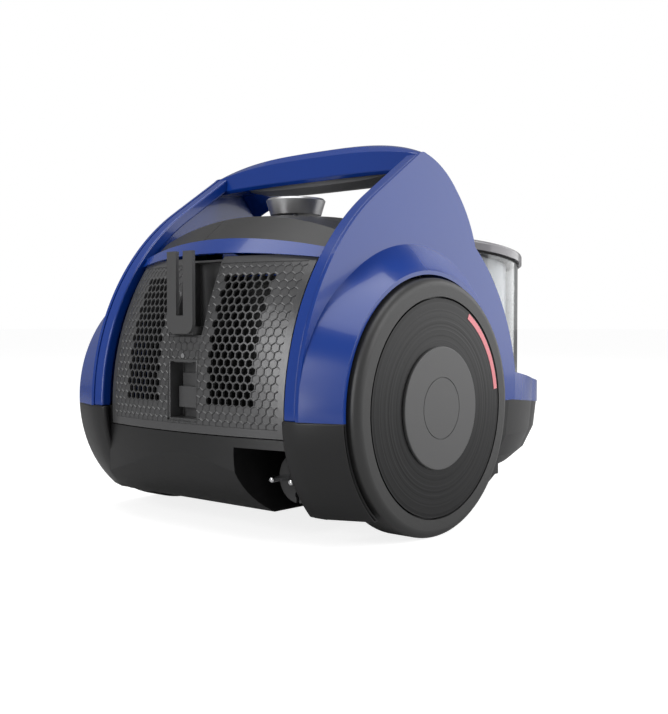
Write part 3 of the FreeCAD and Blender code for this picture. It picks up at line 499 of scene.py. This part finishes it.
class VACUUM_OT_grille_recesses(bpy.types.Operator):
    """Build the recess behind the parking plate and the pocket round the catch"""
    bl_idname = "vacuum.grille_recesses"
    bl_label = "Grille recesses"

    def execute(self, context):
        mesh = bmesh.new()
        open_box(mesh, *RECESS_BOX, RECESS_WALL)
        for v in mesh.verts:
            v.co.y = min(v.co.y, grille_y(v.co.x, v.co.z) - RECESS_BEHIND)
        open_box(mesh, *POCKET_BOX, RECESS_WALL)
        for v in mesh.verts:
            v.co = row_point(*v.co)
        drop_piece(mesh, "grille_recesses", "grille_door", "grille_grey", smooth=False, bevel=0.0005)
        return {"FINISHED"}


# ------------------------------------------------------------------ side covers, in millimetres
COVER_X, COVER_INNER_X, LIP_X = 117.5, 114.6, 149.0
LIP_R, WELL_R, SKIRT_R = 102.5, 99.5, 112.8
CREASE_R, CREASE_Y, AXLE_HEIGHT = 124.6, -21.3, 97.0
CREASE_BLEND = 4.0           # mm2: how softly the arch's foot changes from the crease to the skirt
HUB_HOLE_R = 16.0
FLARE_SHARES = (0.35, 0.7)   # where the flared face has its two middle rows
FLAT_MARGIN = 2.5            # a flat row outside the crease, so that the side stays flat up to it
EDGE_GAPS = (0.03, 0.05)     # how far those two rows at least stay inside the outline
FRONT_TURN = -1.0            # an angle below this belongs to the front foot, past half a turn

# the outline's corners, each (y, z)
PEAK = (-31.5, 295.2)
CROWN = ((-28.0, 293.0), (-32.0, 295.2), (-37.0, 294.6))
BROW, SHOULDER = (-60.0, 285.6), (-80.0, 269.6)
NECK, NOTCH = (-97.0, 249.0), (-108.7, 224.5)
SHIN, TOE = (-149.0, 182.0), (-175.0, 118.0)
REAR_STEPS, RAKE_STEPS, CROWN_STEPS, BROW_STEPS, NECK_STEPS, SHIN_STEPS, TOE_STEPS = 48, 10, 6, 12, 14, 24, 6


def arc_through(start, middle, end, count):
    """Points along the circle arc from start over middle to end, without its start."""
    (ax, ay), (bx, by), (cx, cy) = start, middle, end
    a2, b2, c2 = ax * ax + ay * ay, bx * bx + by * by, cx * cx + cy * cy
    d = 2 * (ax * (by - cy) + bx * (cy - ay) + cx * (ay - by))
    ux = (a2 * (by - cy) + b2 * (cy - ay) + c2 * (ay - by)) / d
    uy = (a2 * (cx - bx) + b2 * (ax - cx) + c2 * (bx - ax)) / d
    radius = math.hypot(ax - ux, ay - uy)
    turns = [math.atan2(y - uy, x - ux) for x, y in (start, middle, end)]
    for i in (1, 2):
        while turns[i] - turns[i - 1] > math.pi:
            turns[i] -= math.tau
        while turns[i] - turns[i - 1] < -math.pi:
            turns[i] += math.tau
    swept = [turns[0] + (turns[2] - turns[0]) * i / count for i in range(1, count + 1)]
    return [(ux + radius * math.cos(turn), uy + radius * math.sin(turn)) for turn in swept]


def cover_outline():
    """The side wall's edge from its foot at the rear, over the handle's end, to its foot at the front."""
    knee_z = PARTING_Z + REAR_ARC_R * math.sin(RAKE)
    heights = [PARTING_Z + (knee_z - PARTING_Z) * i / REAR_STEPS for i in range(REAR_STEPS + 1)]
    points = [(rear_edge_y(z), z) for z in heights]
    knee_y, knee_top = points[-1]
    for share in (i / RAKE_STEPS for i in range(1, RAKE_STEPS)):
        points.append((knee_y + (PEAK[0] - knee_y) * share, knee_top + (PEAK[1] - knee_top) * share))
    points += arc_through(*CROWN, CROWN_STEPS)
    points += arc_through(points[-1], BROW, SHOULDER, BROW_STEPS)
    points += arc_through(SHOULDER, NECK, NOTCH, NECK_STEPS)
    points += arc_through(NOTCH, SHIN, TOE, SHIN_STEPS)
    points += [(TOE[0], TOE[1] + (PARTING_Z - TOE[1]) * i / TOE_STEPS) for i in range(1, TOE_STEPS + 1)]
    return points


def arch_base_radius(angle):
    """Where the arch's foot meets the side wall: the crease's radius, or the skirt's if that is larger."""
    toward = CREASE_Y * math.cos(angle)
    crease = toward + math.sqrt(CREASE_R ** 2 - CREASE_Y ** 2 + toward ** 2)
    gap = crease - SKIRT_R
    return 0.5 * (crease + SKIRT_R + math.sqrt(gap ** 2 + CREASE_BLEND))


def toward_lip(share):
    """The radius at a share of the way from the arch's foot to its lip, as a function of the angle."""
    return lambda angle: arch_base_radius(angle) + (LIP_R - arch_base_radius(angle)) * share


class VACUUM_OT_side_covers(bpy.types.Operator):
    """Build both glossy side covers with their flared wheel arches"""
    bl_idname = "vacuum.side_covers"
    bl_label = "Side covers"

    def execute(self, context):
        edge = cover_outline()
        last = len(edge) - 1

        def ring(i, x, radius):
            """The point at x and a radius from the axle, on the ray to the outline's point i."""
            y, z = edge[i]
            angle = math.atan2(z - AXLE_HEIGHT, y)
            if angle < FRONT_TURN:
                angle += math.tau
            r = radius(angle) if callable(radius) else radius
            if i in (0, last):
                drop = AXLE_HEIGHT - PARTING_Z
                return (x, math.copysign(math.sqrt(max(r * r - drop * drop, 1.0)), y), PARTING_Z)
            return (x, r * math.cos(angle), AXLE_HEIGHT + r * math.sin(angle))

        def cover_point(i, row):
            y, z = edge[i]
            flat_limit, crease_limit = (math.hypot(y, z - AXLE_HEIGHT) - gap for gap in EDGE_GAPS)
            flare_x = [COVER_X + (LIP_X - COVER_X) * share for share in FLARE_SHARES]
            section = [
                ring(i, COVER_INNER_X, HUB_HOLE_R),
                (COVER_INNER_X, y, z),
                (COVER_X, y, z),
                ring(i, COVER_X, lambda angle: min(arch_base_radius(angle) + FLAT_MARGIN, flat_limit)),
                ring(i, COVER_X, lambda angle: min(arch_base_radius(angle), crease_limit)),
                ring(i, flare_x[0], toward_lip(FLARE_SHARES[0])),
                ring(i, flare_x[1], toward_lip(FLARE_SHARES[1])),
                ring(i, LIP_X, LIP_R),
                ring(i, LIP_X, WELL_R),
                ring(i, COVER_X, WELL_R),
                ring(i, COVER_X, HUB_HOLE_R),
                ring(i, COVER_INNER_X, HUB_HOLE_R),
            ]
            return section[row]

        for side, name in SIDES:
            drop_piece(closed_skin(last, 11, cover_point, side), name + "_cover", "chassis", "blue_plastic",
                       [name + "_side_cover"], bevel=0.0006)
        return {"FINISHED"}


# ------------------------------------------------------------------ base, in millimetres
SKIRT_TOP_Z, SKIRT_LOW_Z, SKIRT_STEPS = PARTING_Z - 0.4, 20.6, 28
# the corner's section, each (x, radius from the axle), from the band's foot to the lip and back inside
SKIRT_SECTION = [
    (100.5, SKIRT_R - 4.0), (100.5, SKIRT_R - 1.5), (101.5, SKIRT_R - 0.1), (103.5, SKIRT_R + 0.5),
    (109.0, SKIRT_R + 0.4), (117.5, SKIRT_R + 0.2), (COVER_X + 16.0, SKIRT_R - 4.4),
    (LIP_X, LIP_R), (LIP_X, WELL_R + 0.5), (120.0, WELL_R + 0.5), (100.5, SKIRT_R - 4.0),
]


class VACUUM_OT_skirts(bpy.types.Operator):
    """Build the smooth rear corners of the base, from the band's foot to the arch's lip"""
    bl_idname = "vacuum.skirts"
    bl_label = "Rear skirts"

    def execute(self, context):
        def corner(i, row):
            x, radius = SKIRT_SECTION[row]
            z = SKIRT_TOP_Z + (SKIRT_LOW_Z - SKIRT_TOP_Z) * i / SKIRT_STEPS
            return (x, math.sqrt(radius ** 2 - (z - AXLE_HEIGHT) ** 2), z)

        for side, name in SIDES:
            drop_piece(closed_skin(SKIRT_STEPS, len(SKIRT_SECTION) - 1, corner, side),
                       name + "_rear_skirt", "chassis", "black_plastic", bevel=0.0008)
        return {"FINISHED"}


# ------------------------------------------------------------------ handle, in millimetres
HANDLE_HALF = COVER_INNER_X - 0.1
HANDLE_STEPS = 64
CREST_Z, CREST_DROP, CREST_HALF = 310.5, 13.5, 111.0
HANDLE_BEVEL_FROM = math.radians(50)
# the bar's section from its rear lower edge over the crest and back underneath. Each point is y in the middle
# and its change towards the ends, then z in the middle, or from the crest if it isn't above 0, and its change
HANDLE_SECTION = [
    (-31.0, 0.0, 281.5, -2.0),
    (-28.2, 0.0, 284.5, -3.0),
    (-29.2, 0.0, 289.0, -3.0),
    (-31.5, 2.0, -8.0, 6.0),
    (-37.0, 5.0, -2.2, 1.6),
    (-46.0, 11.0, 0.0, 0.0),
    (-58.0, 9.0, -2.0, -1.5),
    (-72.0, 7.0, -6.8, -7.0),
    (-84.0, 7.0, -14.5, -11.0),
    (-90.5, 9.0, 290.0, -24.0),
    (-89.0, 9.0, 285.0, -24.0),
    (-84.0, 8.0, 287.5, -24.0),
    (-60.0, 0.0, 284.5, -4.0),
    (-38.0, 0.0, 283.5, -3.0),
    (-31.0, 0.0, 281.5, -2.0),
]
BAND_INNER_X, BAND_DEPTH, BAND_SINK = 103.2, 9.0, 0.4
BAND_LENGTH = REAR_STEPS + RAKE_STEPS + 1        # points of the outline that the band follows
# each (x, how far in from the outline), once round
BAND_SECTION = [(BAND_INNER_X, 0.0), (HANDLE_HALF, 0.0), (HANDLE_HALF, BAND_DEPTH),
                (BAND_INNER_X, BAND_DEPTH), (BAND_INNER_X, 0.0)]


class VACUUM_OT_handle(bpy.types.Operator):
    """Build the carrying handle and the band that runs down both rear corners"""
    bl_idname = "vacuum.handle"
    bl_label = "Handle and band"

    def execute(self, context):
        def bar_point(i, row):
            x = -HANDLE_HALF + 2 * HANDLE_HALF * i / HANDLE_STEPS
            end = (abs(x) / HANDLE_HALF) ** 3
            crest = CREST_Z - CREST_DROP * (abs(x) / CREST_HALF) ** 3
            y, y_change, z, z_change = HANDLE_SECTION[row]
            start_z = z if z > 0 else crest + z
            return (x, y + y_change * end, start_z + z_change * end)

        handle = drop_piece(closed_skin(HANDLE_STEPS, len(HANDLE_SECTION) - 1, bar_point), "handle_bar",
                            "chassis", "blue_plastic", ["handle_shell"], bevel=0.0008)
        handle.modifiers["rounded_edges"].angle_limit = HANDLE_BEVEL_FROM

        path = cover_outline()[:BAND_LENGTH]

        def band_point(i, row):
            y, z = path[i]
            before, after = path[max(i - 1, 0)], path[min(i + 1, len(path) - 1)]
            run = (after[0] - before[0], after[1] - before[1])
            length = math.hypot(*run)
            x, inward = BAND_SECTION[row]
            depth = inward + BAND_SINK
            return (x, y - run[1] / length * depth, z + run[0] / length * depth)

        for side, name in SIDES:
            drop_piece(closed_skin(len(path) - 1, len(BAND_SECTION) - 1, band_point, side), name + "_band",
                       "chassis", "blue_plastic", bevel=0.0012)
        return {"FINISHED"}


# ------------------------------------------------------------------ carried-over CAD nodes
class VACUUM_OT_finishes(bpy.types.Operator):
    """Give every CAD node that stays in view its finish"""
    bl_idname = "vacuum.finishes"
    bl_label = "Finishes"

    def execute(self, context):
        slots = {s["node"]: s["material_slot"] for s in frame["record"]["subparts"]}
        for name, node in frame["nodes"].items():
            node.data.materials.clear()
            node.data.materials.append(slot_material(slots[name]))
        return {"FINISHED"}


# ------------------------------------------------------------------ stage
MIDDLE = (0, 0, 0.15)
# each light: name, place, aim, width and height in metres, power in watts
LIGHTS = [
    ("top_softbox", (0.2, 0.3, 1.8), MIDDLE, (1.4, 1.4), 14),
    ("front_softbox", (-1.35, -1.75, 0.75), MIDDLE, (3.0, 2.0), 34),
    ("side_softbox", (-1.7, -0.2, 1.1), MIDDLE, (0.9, 1.2), 14),
    ("rear_strip", (0.32, 1.7, 0.45), (0, 0.1, 0.15), (0.4, 1.3), 13),
]
SKY_LIGHT = 0.28             # the world's strength as a light; the camera sees it white
FLOOR_HALF, FLOOR_GREY, FLOOR_GLOW = 30.0, 0.55, 0.82
WHITE = (1, 1, 1, 1)
CAMERA_PLACE, CAMERA_LOOK = (-0.5880, 0.7211, 0.1594), (0.6516, -0.7579, -0.0323)
LENS, SENSOR_WIDTH = 51.1, 36.0
CLIP_NEAR, CLIP_FAR = 0.01, 100.0


def area_light(name, place, aim, size, power):
    light = bpy.data.lights.new(name, "AREA")
    light.shape = "RECTANGLE"
    light.size, light.size_y = size
    light.energy = power
    lamp = bpy.data.objects.new(name, light)
    lamp.location = place
    lamp.rotation_mode = "QUATERNION"
    lamp.rotation_quaternion = (Vector(aim) - Vector(place)).to_track_quat("-Z", "Y")
    bpy.context.scene.collection.objects.link(lamp)


def add_floor():
    """A plain pale floor that fades into the white behind it."""
    floor = bmesh.new()
    bmesh.ops.create_grid(floor, x_segments=1, y_segments=1, size=FLOOR_HALF)
    mesh = bpy.data.meshes.new("floor")
    floor.to_mesh(mesh)
    floor.free()
    ground = bpy.data.objects.new("floor", mesh)
    bpy.context.scene.collection.objects.link(ground)
    pale = bpy.data.materials.new("floor_white")
    pale.use_nodes = True
    shader = pale.node_tree.nodes["Principled BSDF"]
    shader.inputs["Base Color"].default_value = (FLOOR_GREY, FLOOR_GREY, FLOOR_GREY, 1)
    shader.inputs["Roughness"].default_value = 0.9
    shader.inputs["Specular IOR Level"].default_value = 0.1
    ray = pale.node_tree.nodes.new("ShaderNodeLightPath")
    pale.node_tree.links.new(ray.outputs["Is Camera Ray"], shader.inputs["Emission Color"])
    shader.inputs["Emission Strength"].default_value = FLOOR_GLOW
    mesh.materials.append(pale)


def set_world(scene):
    """A world that is white to the camera and a weak even light to everything else."""
    world = scene.world or bpy.data.worlds.new("studio")
    scene.world = world
    world.use_nodes = True
    sky = world.node_tree
    back = sky.nodes["Background"]
    seen = sky.nodes.new("ShaderNodeBackground")
    for node, strength in ((back, SKY_LIGHT), (seen, 1.0)):
        node.inputs["Color"].default_value = WHITE
        node.inputs["Strength"].default_value = strength
    ray = sky.nodes.new("ShaderNodeLightPath")
    mix = sky.nodes.new("ShaderNodeMixShader")
    sky.links.new(ray.outputs["Is Camera Ray"], mix.inputs[0])
    sky.links.new(back.outputs[0], mix.inputs[1])
    sky.links.new(seen.outputs[0], mix.inputs[2])
    sky.links.new(mix.outputs[0], sky.nodes["World Output"].inputs["Surface"])


class VACUUM_OT_stage(bpy.types.Operator):
    """Set up the pale floor, the soft lights and the camera"""
    bl_idname = "vacuum.stage"
    bl_label = "Stage"

    def execute(self, context):
        scene = context.scene
        add_floor()
        set_world(scene)
        scene.view_settings.view_transform = "Standard"
        for light in LIGHTS:
            area_light(*light)

        lens = bpy.data.cameras.new("main_camera")
        lens.lens = LENS
        lens.sensor_width = SENSOR_WIDTH
        lens.clip_start, lens.clip_end = CLIP_NEAR, CLIP_FAR
        camera = bpy.data.objects.new("main_camera", lens)
        camera.location = CAMERA_PLACE
        camera.rotation_mode = "QUATERNION"
        camera.rotation_quaternion = Vector(CAMERA_LOOK).to_track_quat("-Z", "Y")
        scene.collection.objects.link(camera)
        scene.camera = camera
        return {"FINISHED"}


class VACUUM_PT_panel(bpy.types.Panel):
    """The steps that build the cleaner, in order"""
    bl_label = "Canister vacuum cleaner"
    bl_idname = "VACUUM_PT_panel"
    bl_space_type = "VIEW_3D"
    bl_region_type = "UI"
    bl_category = "Vacuum"

    def draw(self, context):
        for operator in OPERATORS:
            self.layout.operator(operator.bl_idname)


OPERATORS = [VACUUM_OT_finishes, VACUUM_OT_grille, VACUUM_OT_grille_recesses, VACUUM_OT_side_covers,
             VACUUM_OT_skirts, VACUUM_OT_handle, VACUUM_OT_stage]
CLASSES = [VacuumSizes, VacuumColours, *OPERATORS, VACUUM_PT_panel]


def register():
    for made in CLASSES:
        bpy.utils.register_class(made)
    bpy.types.Scene.vacuum_sizes = bpy.props.PointerProperty(type=VacuumSizes)
    bpy.types.Scene.vacuum_colours = bpy.props.PointerProperty(type=VacuumColours)


def unregister():
    del bpy.types.Scene.vacuum_colours
    del bpy.types.Scene.vacuum_sizes
    for made in reversed(CLASSES):
        bpy.utils.unregister_class(made)


def main():
    for name in ("Cube", "Light", "Camera"):
        if name in bpy.data.objects:
            bpy.data.objects.remove(bpy.data.objects[name])
    register()
    bpy.ops.vacuum.finishes()
    bpy.ops.vacuum.grille()
    bpy.ops.vacuum.grille_recesses()
    bpy.ops.vacuum.side_covers()
    bpy.ops.vacuum.skirts()
    bpy.ops.vacuum.handle()
    bpy.ops.vacuum.stage()


if __name__ == "__main__":
    main()
